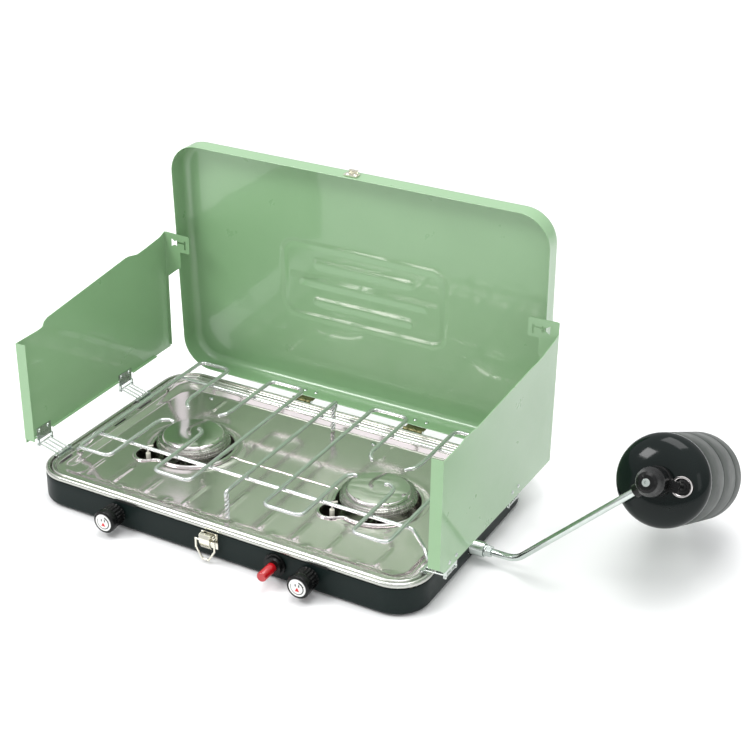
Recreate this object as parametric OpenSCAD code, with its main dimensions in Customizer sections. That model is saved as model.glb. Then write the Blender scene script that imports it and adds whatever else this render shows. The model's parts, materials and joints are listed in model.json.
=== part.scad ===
// Two-burner folding camp stove, opened out, with its regulator and screw-on gas cylinder.
// Origin: centre of the footprint, on the plane the rubber feet stand on.
// +X right, +Z up; the controls face the front, towards -Y, and the lid stands at the back.
// Inside lift(), heights are measured from the underside of the base tray.

/* [Body] */
// Width of the steel base tray
body_width = 508; // [500:1:512]
// Depth of the steel base tray
body_depth = 306; // [304:1:307]
// Height of the base tray wall
body_height = 34; // [33.8:0.1:34]
// Outer corner radius in plan
corner_r = 40; // [38:1:42]
// How far the rubber feet stand below the tray
foot_height = 1.5; // [1.2:0.1:2.5]

/* [Burners] */
// Distance of each burner from the centre plane
burner_x = 129; // [127:0.5:131]
// Radius of the polished burner cap
cap_r = 37; // [35:0.5:38]
// Outer radius of the burner head
head_r = 45; // [43:0.5:46]

/* [Grate] */
// Grate wire radius
grate_wire_r = 2.4; // [2:0.1:2.5]
// Height of the grate bars' centre line above the tray bottom
grate_z = 68.8; // [66:0.1:69]

/* [Lid] */
// Lid width over the rim
lid_width = 514.8; // [514:0.2:515.4]
// Lid length from hinge side to front
lid_length = 314.6; // [314:0.2:315]
// Lid depth
lid_depth = 30.1; // [29.5:0.1:31]
// Lean of the opened lid towards the front, in degrees
lid_lean = 2.4; // [1.5:0.1:3]

/* [Windscreens] */
// Outer face of each windscreen, from the centre plane
screen_x = 275; // [275:0.5:278]
// Windscreen sheet thickness
screen_sheet = 0.9; // [0.8:0.1:1]

/* [Controls] */
// Height of the knob axes above the tray bottom
knob_z = 20; // [19:0.5:21]
// Knob radius
knob_r = 14; // [13:0.1:14.5]
// Ribs round each knob
knob_ribs = 20; // [16:1:24]

/* [Fuel] */
// Gas cylinder radius
tank_r = 51; // [48:0.5:51.5]
// Length of the straight part of the gas cylinder
tank_length = 156; // [125:1:160]

/* [Hidden] */
$fn = 48;

// base and drip pan
half_width = body_width / 2;
half_depth = body_depth / 2;
tray_sheet = 1;
tray_bend = 5;           // outer radius between tray wall and bottom
foot_xy = [210, 110];    // feet stand at plus and minus these
pan_size = [446, 244];   // pan floor
pan_r = 22;              // plan radius of the pan floor
pan_sheet = 0.8;
floor_z = 30;            // underside of the pan floor
ledge_z = 35.2;          // underside of the ledge round the pan
rim_z = 37.4;            // centre of the rolled rim
rim_r = 3.4;
pan_screw_xs = [-180, 60, 180];
pan_screw_y = 115;
rivet_hole_r = 1.6;

// burners and controls
burner_y = 1;
bowl_r = 50;             // burner opening
lobe = [-36, -45];       // centre of each opening's side lobe, from the burner axis
lobe_r = 17;
mixer_z = 17;            // mixer tube axis
valve_y = -half_depth + 1.2; // front face of the valve bodies
stem_r = 3;
stem_bore_r = stem_r + 0.05;
manifold_y = valve_y + 8;
manifold_z = 5.4;
inlet_y = -8;            // gas inlet axis, through the right wall
inlet_z = 15.6;
igniter_x = 85;

// latch
latch_x = -1;
latch_pin_z = 29.5;
bail_y = -half_depth - 10.2; // bail pivot
bail_z = 27.4;

// lid and hinges; lid coordinates are s, from the hinge side to the front edge,
// and n, from the rim to the top panel
hinge_y = 158.1;         // hinge axis
hinge_z = 37.6;
hinge_s = 5.24;          // the same axis in lid coordinates
hinge_n = -10.43;
hinge_xs = [-69, 92];
hinge_pin_r = 1.5;
base_rivet_x = 7;        // rivet holes either side of each hinge centre, on the tray
base_rivet_z = 20;
lid_rivet_x = 8;         // and on the lid
lid_rivet_n = 12;
lid_wall_s = 5.9;        // hinge-side wall of the lid
lid_sheet = 0.9;
lid_bend = 7;            // outer radius between lid wall and top panel
catch_rivet_x = 5;       // catch rivets, from the latch centre
catch_rivet_n = 9;

// windscreen mountings
clip_x = 245.5;          // wire link axis on the pan rim
clip_z = 43;
bracket_x = 273;         // wire link axis on the windscreen
link_ys = [-104, 57];    // the two wire links of each windscreen
link_wire_r = 1.1;
screen_rivet_y = 8;      // rivets either side of each link centre
screen_rivet_rise = 17;  // and above the link axis

// regulator and cylinder; z in the regulator's frame
regulator_at = [451, -8, 159]; // crossing of the regulator and the supply tube
regulator_yaw = 1;
regulator_droop = 26;    // degrees below horizontal, towards the back
supply_tube_r = 4;
supply_bore_r = supply_tube_r + 0.05;
shoulder_z = 50;         // where the straight part of the tank starts
base_bend = 12;          // radius of the tank's lower edge
tank_wall = 2.2;
straight_end_z = shoulder_z + tank_length;
tank_end_z = straight_end_z + base_bend;

// ---------- placing ----------
// raises the children from the tray bottom's level to stand on the feet
module lift() { translate([0, 0, foot_height]) children(); }
// turn +Z to point right, or to the back
module along_x() { rotate([0, 90, 0]) children(); }
module along_y() { rotate([-90, 0, 0]) children(); }
// extrudes a (y, z) outline to the right
module extrude_x(length) { rotate([90, 0, 90]) linear_extrude(length) children(); }
// builds right-hand children on the left when side is -1
module on_side(side) { mirror([side < 0 ? 1 : 0, 0, 0]) children(); }
module at_burner(side) { translate([side * burner_x, burner_y, 0]) children(); }
module at_feet() {
  for (s = [-1, 1], t = [-1, 1]) translate([s * foot_xy[0], t * foot_xy[1], 0]) children();
}
// a front-to-back axis at knob height, +Z to the back
module control_axis(x, y) { translate([x, y, knob_z]) along_y() children(); }
// places children given as (x, -s, n) in lid coordinates
module lid_frame() {
  translate([0, hinge_y, hinge_z])
    rotate([-(90 - lid_lean), 0, 0])
      translate([0, hinge_s, -hinge_n]) children();
}
// +Z runs from the regulator's screw to the cylinder's foot
module regulator_frame() {
  translate(regulator_at)
    rotate([0, 0, regulator_yaw])
      rotate([-(90 + regulator_droop), 0, 0]) children();
}

// ---------- shapes ----------
function arc(centre, radius, from, to, steps) = [for (i = [0 : steps])
  let (a = from + (to - from) * i / steps) [centre[0] + radius * cos(a), centre[1] + radius * sin(a)]];

module rounded_rect(width, depth, radius) {
  square([width - 2 * radius, depth], center = true);
  square([width, depth - 2 * radius], center = true);
  for (sx = [-1, 1], sy = [-1, 1])
    translate([sx * (width / 2 - radius), sy * (depth / 2 - radius)]) circle(radius, $fn = 72);
}
// sweeps a profile (x outward from the path, y up) round a rounded rectangle
module sweep_rect(width, depth, radius) {
  for (k = [0 : 3]) {
    reach = (k % 2 == 0 ? width : depth) / 2;
    straight = (k % 2 == 0 ? depth : width) / 2 - radius;
    rotate([0, 0, k * 90]) {
      translate([reach, straight, 0]) rotate([90, 0, 0]) linear_extrude(2 * straight) children();
      translate([reach - radius, straight, 0])
        rotate_extrude(angle = 90, $fn = 72) translate([radius, 0]) children();
    }
  }
}
// round rod between two points
module rod(start, end, radius) {
  run = end - start;
  length = norm(run);
  translate(start)
    rotate([0, acos(run[2] / length), atan2(run[1], run[0])]) cylinder(r = radius, h = length, $fn = 20);
}
// rods through a list of points, with a ball at each corner
module ball_wire(points, radius) {
  for (i = [0 : len(points) - 2]) rod(points[i], points[i + 1], radius);
  for (i = [1 : len(points) - 2]) translate(points[i]) sphere(radius * 1.04, $fn = 24);
}
// rods through a list of points, each run carried a little past its corners
module lapped_wire(points, radius) {
  last = len(points) - 2;
  for (i = [0 : last]) {
    run = points[i + 1] - points[i];
    lap = run / norm(run) * radius * 0.7;
    rod(i == 0 ? points[i] : points[i] - lap, i == last ? points[i + 1] : points[i + 1] + lap, radius);
  }
}
// outline of a burner opening, a circle with a side lobe
module keyhole(main_r, side_r) {
  circle(main_r, $fn = 96);
  translate(lobe) circle(side_r, $fn = 48);
}

// ---------- base ----------
module base_tray() {
  wall = concat([[0, body_height]], arc([-tray_bend, tray_bend], tray_bend, 0, -90, 4),
    [[-14, 0], [-14, tray_sheet]], arc([-tray_bend, tray_bend], tray_bend - tray_sheet, -90, 0, 4),
    [[-tray_sheet, body_height]]);
  color([0.16, 0.19, 0.18]) lift() difference() {
    union() {
      sweep_rect(body_width, body_depth, corner_r) polygon(wall);
      linear_extrude(tray_sheet) rounded_rect(body_width - 24, body_depth - 24, corner_r - 12);
    }
    // valve stems and igniter, front wall
    for (s = [-1, 1]) control_axis(s * burner_x, -half_depth - 1) cylinder(r = 4.5, h = 3);
    control_axis(igniter_x, -half_depth - 1) cylinder(r = 9.2, h = 3);
    // gas inlet, right wall
    translate([half_width - 3, inlet_y, inlet_z]) along_x() linear_extrude(5) {
      circle(11);
      translate([0, 5]) circle(11);
      translate([-11, 0]) square([22, 5]);
    }
    // slots under the burners
    for (s = [-1, 1], i = [-2 : 2]) translate([s * burner_x + i * 16 - 3, -30, -1]) cube([6, 60, 3]);
    translate([0, 0, -1]) at_feet() cylinder(r = 3.1, h = 3);
    for (x = hinge_xs, s = [-1, 1])
      translate([x + s * base_rivet_x, half_depth - 3, base_rivet_z]) along_y() cylinder(r = rivet_hole_r, h = 5);
  }
}
module rubber_feet() {
  color([0.08, 0.08, 0.08]) at_feet() {
    cylinder(r = 8, h = foot_height - 0.02);
    cylinder(r = 3, h = foot_height + 2.2);
    translate([0, 0, foot_height + 1.02]) cylinder(r = 4.2, h = 1.2);
  }
}
// trapezoidal rib standing on the pan floor, running front to back
module pan_rib(x, front, back, width) {
  height = 0.9;
  translate([x, front, floor_z + 0.7]) along_y() linear_extrude(back - front)
    polygon([[-width / 2, 0], [-width / 2 + height, -height - 0.1],
      [width / 2 - height, -height - 0.1], [width / 2, 0]]);
}
module drip_pan() {
  floor_top = floor_z + pan_sheet;
  ledge_top = ledge_z + pan_sheet;
  color([0.75, 0.77, 0.74]) lift() difference() {
    union() {
      // rolled rim and the bead inside it
      sweep_rect(body_width, body_depth, corner_r) {
        translate([-3, rim_z]) circle(rim_r, $fn = 32);
        translate([-9.4, rim_z + 0.6]) circle(2.3, $fn = 32);
        polygon([[-4, rim_z], [-4, rim_z + 1], [-9, rim_z + 1], [-9, rim_z]]);
        polygon([[-10, 37], [-10.8, 38.6], [-13.4, 36], [-16, 36], [-16, 35.2], [-12.6, 35.2]]);
      }
      translate([0, 0, ledge_z]) linear_extrude(pan_sheet) difference() {
        rounded_rect(body_width - 28, body_depth - 28, corner_r - 14);
        rounded_rect(pan_size[0] + 20, pan_size[1] + 20, pan_r + 10);
      }
      // sloping wall between floor and ledge
      sweep_rect(pan_size[0], pan_size[1], pan_r)
        polygon([[-1.2, floor_z], [0.2, floor_z], [10.6, ledge_z], [10.6, ledge_top], [9.8, ledge_top],
          [-0.2, floor_top], [-1.2, floor_top]]);
      translate([0, 0, floor_z]) linear_extrude(pan_sheet)
        rounded_rect(pan_size[0] - 2, pan_size[1] - 2, pan_r - 1);
      for (x = [-203, -163, -62, 85, 200]) pan_rib(x, front = -112, back = -76, width = 4);
      pan_rib(24, front = -112, back = 104, width = 12);
      // raised discs along the front
      for (x = [-186, -140, -95, -36, 62, 108, 154, 208])
        translate([x, -119, floor_z + 0.7]) cylinder(r = 5, h = 0.9);
    }
    for (s = [-1, 1])
      at_burner(s) translate([0, 0, floor_z - 1]) linear_extrude(4) keyhole(bowl_r, lobe_r);
    // flats on the front rim
    for (x = [-117, 142]) translate([x - 13, -half_depth - 1, 33]) cube([26, 1.7, 4.6]);
    // slots in the side and rear ledges
    for (s = [-1, 1]) translate([s * (half_width - 16) - 1.5, -12, 35]) cube([3, 24, 2]);
    for (x = [-38, 48]) translate([x - 11, half_depth - 17, 35]) cube([22, 2.4, 2]);
    for (x = pan_screw_xs) translate([x, pan_screw_y, floor_z - 1]) cylinder(r = 1.6, h = 3);
  }
}
module pan_screws() {
  color("silver") lift() for (x = pan_screw_xs) translate([x, pan_screw_y, 0]) {
    difference() {
      translate([0, 0, floor_z + 0.85]) cylinder(r1 = 3.4, r2 = 2.4, h = 1.6);
      translate([-3, -0.4, floor_z + 1.9]) cube([6, 0.8, 1]);
    }
    translate([0, 0, floor_z - 6]) cylinder(r = 1.5, h = 6.9);
  }
}

// ---------- burners ----------
module burner_bowl(side) {
  color("silver") lift() at_burner(side) difference() {
    union() {
      translate([0, 0, 6]) linear_extrude(25.6) keyhole(bowl_r - 0.3, lobe_r - 0.3);
      // flange over the pan floor
      translate([0, 0, floor_z + 0.85]) linear_extrude(1.8) keyhole(bowl_r + 4.5, lobe_r + 3.5);
    }
    translate([0, 0, 7]) linear_extrude(40) keyhole(bowl_r - 1.3, lobe_r - 1.3);
    translate([0, -90, mixer_z]) along_y() cylinder(r = 8.4, h = 60);
    for (a = [0 : 45 : 359]) rotate([0, 0, a + 20]) translate([34, 0, 5]) cylinder(r = 4, h = 3);
    translate([lobe[0], lobe[1], 5]) cylinder(r = 3.2, h = 3);
  }
}
module left_burner_bowl() { burner_bowl(-1); }
module right_burner_bowl() { burner_bowl(1); }

module burner_head(side) {
  // half section as (radius, z): underside, stepped edge, top, then the hollow
  profile = [[9.6, 26], [13, 26], [14, 31], [30, 35], [head_r, 37], [head_r, 39.2],
    [head_r - 1.6, 39.6], [head_r - 1.6, 40.4], [head_r - 0.8, 40.8], [head_r - 0.8, 42.4],
    [head_r - 3, 42.8], [head_r - 3, 43.6], [head_r - 2.2, 44], [head_r - 2.2, 45.4],
    [38.5, 46], [9.6, 46], [9.6, 40], [28, 40], [28, 38], [9.6, 36]];
  color([0.7, 0.7, 0.68]) lift() at_burner(side) difference() {
    rotate_extrude($fn = 96) polygon(profile);
    // ring of radial holes
    for (a = [0 : 12 : 359])
      rotate([0, 0, a]) translate([head_r - 6, 0, 44.2]) along_x() cylinder(r = 0.7, h = 12, $fn = 16);
  }
}
module left_burner_head() { burner_head(-1); }
module right_burner_head() { burner_head(1); }

module burner_cap(side) {
  color([0.85, 0.86, 0.85]) lift() at_burner(side) rotate_extrude($fn = 96)
    polygon([[0, 43], [6, 43], [6, 46.05], [cap_r + 1, 46.05], [cap_r + 0.6, 47.2],
      [cap_r - 0.6, 48.6], [cap_r - 2.4, 49.2], [0, 49.2]]);
}
module left_burner_cap() { burner_cap(-1); }
module right_burner_cap() { burner_cap(1); }

// tube from the valve, turning up under the burner
module mixer_tube(side) {
  outer_r = 8;
  inner_r = 6.4;
  front = -126;
  color([0.72, 0.7, 0.66]) lift() translate([side * burner_x, 0, mixer_z]) difference() {
    union() {
      translate([0, front, 0]) along_y() cylinder(r = outer_r, h = 127);
      translate([0, front, 0]) along_y() cylinder(r = 10, h = 12);
      translate([0, burner_y, 0]) {
        sphere(outer_r);
        cylinder(r = outer_r, h = 4);
        cylinder(r = 9.4, h = 16);
      }
    }
    translate([0, front - 1, 0]) along_y() cylinder(r = inner_r, h = 128);
    translate([0, burner_y, 0]) {
      sphere(inner_r);
      cylinder(r = inner_r, h = 20);
    }
    // window in the top
    translate([-4, -110, 4]) cube([8, 12, 8]);
  }
}
module left_mixer_tube() { mixer_tube(-1); }
module right_mixer_tube() { mixer_tube(1); }

// ---------- valves and knobs ----------
module valve_body(side) {
  color([0.8, 0.62, 0.3]) lift() translate([side * burner_x, 0, 0]) difference() {
    union() {
      translate([-7, valve_y, 9.2]) cube([14, 17, 18.8]);
      translate([0, valve_y + 16, mixer_z]) along_y() cylinder(r = 4, h = 10);
    }
    control_axis(0, valve_y - 1) cylinder(r = stem_bore_r, h = 12);
    translate([0, valve_y + 10, mixer_z]) along_y() cylinder(r = 0.8, h = 20, $fn = 16);
  }
}
module left_valve_body() { valve_body(-1); }
module right_valve_body() { valve_body(1); }

module valve_stem(side) {
  color([0.8, 0.65, 0.35]) lift() control_axis(side * burner_x, -171) cylinder(r = stem_r, h = 28);
}
module left_valve_stem() { valve_stem(-1); }
module right_valve_stem() { valve_stem(1); }

module knob(side) {
  color([0.07, 0.07, 0.07]) lift() control_axis(side * burner_x, -180.5) difference() {
    union() {
      rotate_extrude($fn = 64)
        polygon([[0, 0], [knob_r - 1.2, 0], [knob_r, 1.4], [knob_r, 9], [knob_r - 1, 10],
          [knob_r - 1, 23.6], [knob_r - 2, 24.6], [0, 24.6]]);
      for (i = [0 : knob_ribs - 1])
        rotate([0, 0, i * 360 / knob_ribs]) translate([knob_r - 1.6, -0.5, 11.3]) cube([1.1, 1, 11.5]);
    }
    // dial recess and stem bore
    translate([0, 0, -1]) cylinder(r = 10.6, h = 1.7, $fn = 64);
    translate([0, 0, 9.4]) cylinder(r = stem_bore_r, h = 20);
  }
}
module left_knob() { knob(-1); }
module right_knob() { knob(1); }

module dial(side) {
  color("white") lift() control_axis(side * burner_x, -180.7) cylinder(r = 10.5, h = 0.85, $fn = 64);
}
module left_dial() { dial(-1); }
module right_dial() { dial(1); }

module gas_manifold() {
  path = [[-burner_x - 8, manifold_y, manifold_z], [226, manifold_y, manifold_z],
    [230, inlet_y, manifold_z], [230, inlet_y, inlet_z], [239.9, inlet_y, inlet_z]];
  color([0.75, 0.74, 0.7]) lift() {
    ball_wire(path, 3.2);
    for (s = [-1, 1]) translate([s * burner_x, manifold_y, manifold_z]) cylinder(r = 3, h = 3.7);
  }
}
module inlet_fitting() {
  color([0.78, 0.77, 0.72]) lift() translate([0, inlet_y, inlet_z]) along_x() difference() {
    union() {
      translate([0, 0, 240]) cylinder(r = 6, h = 8);
      translate([0, 0, 247]) cylinder(r = 12.4, h = 5.4);
      translate([0, 0, 247]) cylinder(r = 9, h = 23, $fn = 64);
    }
    translate([0, 0, 255]) cylinder(r = 5.05, h = 30);
    translate([0, 0, 239]) cylinder(r = 1.5, h = 30);
    translate([0, 0, 267]) cylinder(r = 7.4, h = 10);
  }
}

// ---------- igniter ----------
button_r = 5.8;
module igniter_housing() {
  // +Z points to the front
  color([0.06, 0.06, 0.06]) lift() translate([igniter_x, 0, knob_z]) rotate([90, 0, 0]) difference() {
    union() {
      translate([0, 0, half_depth + 0.05]) cylinder(r = 13.4, h = 3.4, $fn = 64);
      translate([0, 0, half_depth + 3.4]) cylinder(r = 10.6, h = 4.6, $fn = 64);
      translate([0, 0, 118]) cylinder(r = 9, h = 36);
    }
    translate([0, 0, 132]) cylinder(r = button_r + 0.05, h = 40);
  }
}
module igniter_button() {
  color([0.72, 0.05, 0.1]) lift() control_axis(igniter_x, -183) {
    cylinder(r1 = 5.2, r2 = button_r, h = 1);
    translate([0, 0, 1]) cylinder(r = button_r, h = 37);
  }
}
// five separate rings, one per coil
module igniter_spring() {
  color("silver") lift() control_axis(igniter_x, -144.3) for (i = [0 : 4])
    translate([0, 0, i * 2.4]) rotate_extrude($fn = 32) translate([4, 0]) circle(0.5, $fn = 16);
}
module igniter_electrodes() {
  lift() for (s = [-1, 1]) at_burner(s) translate([lobe[0], lobe[1], 0]) {
    color("white") translate([0, 0, 3.4]) cylinder(r = 2.9, h = 29.6);
    color("silver") {
      translate([0, 0, 32]) cylinder(r = 1.1, h = 10, $fn = 24);
      // tip turned towards the burner
      translate([0, 0, 42]) rotate([0, 0, 50]) translate([-1.4, 0, 0]) along_x() cylinder(r = 1.2, h = 8, $fn = 24);
    }
  }
}
module igniter_leads() {
  end_y = lobe[1] + burner_y;
  color([0.5, 0.1, 0.08]) lift() for (s = [-1, 1]) {
    start_x = igniter_x + s * 3;
    end_x = s * burner_x + lobe[0];
    ball_wire([[start_x, -116.8, knob_z + 2], [start_x, -110, 3.2],
      [end_x, end_y - 27, 3.2], [end_x, end_y, 2.1]], 1);
  }
}

// ---------- latch ----------
module latch_plate() {
  color([0.8, 0.78, 0.68]) lift() translate([latch_x, -half_depth, 0]) difference() {
    union() {
      translate([-11, -1.3, 14]) cube([22, 1.25, 19.5]);
      for (s = [-1, 1]) translate([s * 8.5 - 0.75, -8.2, 26]) cube([1.5, 7.2, 7]);
    }
    translate([-20, -6, latch_pin_z]) along_x() cylinder(r = 1.45, h = 40, $fn = 24);
    for (s = [-1, 1]) translate([s * 6, -3, 18]) along_y() cylinder(r = 1.5, h = 5);
  }
}
module latch_lever() {
  // section as (y from the tray front, z): outer face downward, inner face back up
  section = [[-4.2, 32.4], [-5.4, 33.8], [-10.2, 34.6], [-12.4, 31], [-11.6, 24], [-8.2, 17],
    [-7.2, 17.4], [-10.4, 24], [-11.1, 31], [-9.6, 33.3], [-5.8, 32.7], [-5, 31.8]];
  color([0.83, 0.81, 0.72]) lift() translate([latch_x, 0, 0]) difference() {
    translate([0, -half_depth, 0]) union() {
      translate([-10.5, -6, latch_pin_z]) along_x() cylinder(r = 1.4, h = 21, $fn = 24);
      translate([-7, 0, 0]) extrude_x(14) polygon(section);
      for (s = [-1, 1]) translate([s * 6.4 - 0.6, -11.4, 25.4]) cube([1.2, 7, 7.6]);
    }
    translate([-20, bail_y, bail_z]) along_x() cylinder(r = 1.3, h = 40, $fn = 24);
  }
}
module latch_bail() {
  // (x, z) from the left pivot end, round the bottom, to the right pivot end
  path = [[-5.4, bail_z], [-12.4, bail_z], [-12.4, 17], [-4, 3], [4, 3], [12.4, 17], [12.4, bail_z], [5.4, bail_z]];
  color([0.85, 0.83, 0.76]) lift() translate([latch_x, 0, 0])
    lapped_wire([for (p = path) [p[0], bail_y, p[1]]], 1.2);
}

// ---------- lid hinges ----------
module hinge_base_leaves() {
  color([0.45, 0.42, 0.25]) lift() for (x = hinge_xs) translate([x, 0, 0]) difference() {
    union() {
      translate([-13, half_depth, 0]) extrude_x(26)
        polygon([[0.06, 12], [1.3, 12], [1.3, 32.6], [2.2, 34], [1, 34], [0.06, 32.8]]);
      // two knuckles and their arms
      for (left = [-13, 6]) translate([left, 0, 0]) extrude_x(7) {
        polygon([[half_depth + 0.5, 33.6], [half_depth + 1.3, 32.4],
          [hinge_y + 0.4, hinge_z - 3], [hinge_y - 2.6, hinge_z - 0.6]]);
        translate([hinge_y, hinge_z]) circle(3.2, $fn = 32);
      }
    }
    translate([-20, hinge_y, hinge_z]) along_x() cylinder(r = hinge_pin_r + 0.05, h = 40, $fn = 24);
    for (s = [-1, 1])
      translate([s * base_rivet_x, half_depth - 1, base_rivet_z]) along_y() cylinder(r = rivet_hole_r, h = 5);
  }
}
module hinge_lid_leaves() {
  color([0.45, 0.42, 0.25]) lift() lid_frame() for (x = hinge_xs) translate([x, 0, 0]) difference() {
    union() {
      translate([-5.7, -hinge_s, hinge_n]) along_x() cylinder(r = 3.2, h = 11.4, $fn = 32);
      translate([-5.7, -5.75, hinge_n]) cube([11.4, 1.2, 8]);
      translate([-13, -5.75, -6.5]) cube([26, 1.2, 26]);
    }
    translate([-20, -hinge_s, hinge_n]) along_x() cylinder(r = hinge_pin_r + 0.05, h = 40, $fn = 24);
    for (s = [-1, 1]) translate([s * lid_rivet_x, -7, lid_rivet_n]) along_y() cylinder(r = rivet_hole_r, h = 5);
  }
}
module hinge_pins() {
  color("silver") lift() for (x = hinge_xs) translate([x, hinge_y, hinge_z]) along_x() {
    translate([0, 0, -14]) cylinder(r = hinge_pin_r, h = 28, $fn = 24);
    for (z = [-14.2, 13.1]) translate([0, 0, z]) cylinder(r = 2.3, h = 1.1, $fn = 24);
  }
}
// rivets through lid leaf and lid wall
module hinge_rivets() {
  color("silver") lift() lid_frame() for (x = hinge_xs, s = [-1, 1])
    translate([x + s * lid_rivet_x, 0, lid_rivet_n]) rotate([90, 0, 0]) {
      translate([0, 0, 4.2]) cylinder(r = 1.5, h = 3, $fn = 24);
      translate([0, 0, 3.3]) cylinder(r = 2.8, h = 1.2, $fn = 24);
      translate([0, 0, 6.85]) cylinder(r1 = 2.8, r2 = 1.8, h = 1.1, $fn = 24);
    }
}

// ---------- lid ----------
module lid() {
  panel_n = lid_depth - lid_sheet;
  bend_centre = [-lid_bend, lid_depth - lid_bend];
  wall = concat([[0.1, 0], [0.1, 2.2], [0, 2.8]], arc(bend_centre, lid_bend, 0, 90, 6),
    [[-16, lid_depth], [-16, panel_n]], arc(bend_centre, lid_bend - lid_sheet, 90, 0, 6), [[-lid_sheet, 0]]);
  color([0.6, 0.75, 0.58]) lift() lid_frame() difference() {
    translate([0, -lid_wall_s - lid_length / 2, 0]) union() {
      sweep_rect(lid_width, lid_length, 40) polygon(wall);
      translate([0, 0, panel_n]) linear_extrude(lid_sheet) rounded_rect(lid_width - 30, lid_length - 30, 25);
      // raised border round three bars on the panel
      translate([0, 6, panel_n + 0.01]) difference() {
        linear_extrude(1.6) rounded_rect(230, 104, 18);
        translate([0, 0, -1]) linear_extrude(4) rounded_rect(222, 96, 14);
      }
      for (i = [-1 : 1]) translate([0, 6 + i * 26, panel_n + 0.01])
        linear_extrude(1.6) rounded_rect(180 - abs(i) * 40, 8, 3.9);
    }
    for (x = hinge_xs, s = [-1, 1])
      translate([x + s * lid_rivet_x, -8, lid_rivet_n]) along_y() cylinder(r = rivet_hole_r, h = 5);
    for (s = [-1, 1]) translate([latch_x + s * catch_rivet_x, -lid_wall_s - lid_length - 2, catch_rivet_n])
      along_y() cylinder(r = rivet_hole_r, h = 5);
    // slanted slots in the side walls
    for (s = [-1, 1]) translate([s * (lid_width / 2 - 0.5) - 2, -206, 3.2]) rotate([22, 0, 0]) cube([4, 1, 11]);
  }
}
module lid_catch() {
  color([0.8, 0.78, 0.7]) lift() lid_frame() translate([latch_x, -lid_wall_s - lid_length, 0]) {
    translate([-9, -1.6, 4]) cube([18, 1.2, 10]);
    translate([-6, -5.2, 12.8]) cube([12, 4, 1.2]);
    translate([-6, -5.2, 12.8]) cube([12, 1.2, 3.4]);
    for (s = [-1, 1]) translate([s * catch_rivet_x, -2.6, catch_rivet_n]) along_y() {
      cylinder(r = 1.5, h = 4, $fn = 24);
      cylinder(r1 = 1.8, r2 = 2.6, h = 1, $fn = 24);
    }
  }
}

// ---------- grate ----------
// wire loop with a gap of length gap in one long side
module grate_loop(x, width, gap_x, gap_front, gap) {
  difference() {
    translate([x, 5.5, grate_z]) sweep_rect(width, 255, 8) circle(grate_wire_r, $fn = 24);
    translate([gap_x - 5, gap_front, grate_z - 5]) cube([10, gap, 10]);
  }
}
module grate() {
  cross_z = grate_z - 2 * grate_wire_r + 0.9; // cross bars, under the loops
  color([0.72, 0.76, 0.74]) lift() {
    // the gaps face each other across each burner
    for (s = [-1, 1]) {
      grate_loop(s * 184, width = 44, gap_x = s * 162, gap_front = -22, gap = 58);
      grate_loop(s * 74, width = 49, gap_x = s * 98.5, gap_front = -32, gap = 72);
    }
    // middle bar and its legs
    rod([0, -119, grate_z], [0, 123, grate_z], grate_wire_r);
    for (y = [-116, 120]) rod([0, y, floor_z + 1.2], [0, y, grate_z], grate_wire_r * 0.9);
    // cross bars and their splayed legs
    for (y = [-78, 90]) {
      rod([-221, y, cross_z], [221, y, cross_z], grate_wire_r * 0.95);
      for (s = [-1, 1]) {
        rod([s * 236, y, 38.8], [s * 219, y, cross_z], grate_wire_r * 0.92);
        translate([s * 219.6, y, cross_z - 0.3]) sphere(grate_wire_r * 1.1, $fn = 24);
      }
    }
  }
}

// ---------- windscreens ----------
function bracket_z(side) = side < 0 ? 50 : 45; // wire link axis on the windscreen
tab_y = 158.5; // front face of the rear flange
tab_back = tab_y + screen_sheet;
// outlines as (y, z), from the bottom front corner round the back to the stepped top edge
left_outline = [[-134.5, 60.5], [tab_y + 0.9, 64.5], [tab_y + 0.9, 229], [148, 224.5], [117, 220],
  [100, 218.2], [82, 221.8], [75, 221.8], [-78, 202.4], [-84, 199.6], [-88, 194], [-96, 193],
  [-134.5, 192.5]];
right_outline = [[-124, 54.75], [tab_y + 0.9, 48], [tab_y + 0.9, 214], [148, 211], [117, 206],
  [100, 204.4], [82, 204.6], [75, 204.2], [-58, 197.2], [-66, 198.4], [-84, 199.2], [-96, 196.6],
  [-134.5, 196], [-134.5, 64]];
// height of the lips along the sloping bottom edge
function lip_z(side, y) = side < 0 ? 60.6 + (y + 134.5) * 4 / 294 : 55.1 - (y + 134.5) * 7 / 294;

module link_bore(x, z) {
  translate([x, -20, z]) along_y() cylinder(r = link_wire_r + 0.05, h = 40, $fn = 24);
}
module link_clips() {
  color("silver") lift() for (s = [-1, 1], y = link_ys) translate([s * clip_x, y, 0]) difference() {
    union() {
      translate([-4, -13, 40.85]) cube([8, 26, 0.75]);
      for (t = [-1, 1]) translate([-2.4, t * 12 - 1, 41]) cube([4.8, 2, 4.2]);
    }
    link_bore(0, clip_z);
  }
}
// two axles joined by four wires
module wire_links(side) {
  low = [side * clip_x, 0, clip_z];
  high = [side * bracket_x, 0, bracket_z(side)];
  color("silver") lift() for (y = link_ys) {
    for (end = [low, high]) rod(end + [0, y - 14, 0], end + [0, y + 14, 0], link_wire_r);
    for (t = [-9, -3.6, 3.6, 9]) rod(low + [0, y + t, 0], high + [0, y + t, 0], 0.95);
  }
}
module left_wire_links() { wire_links(-1); }
module right_wire_links() { wire_links(1); }

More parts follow.
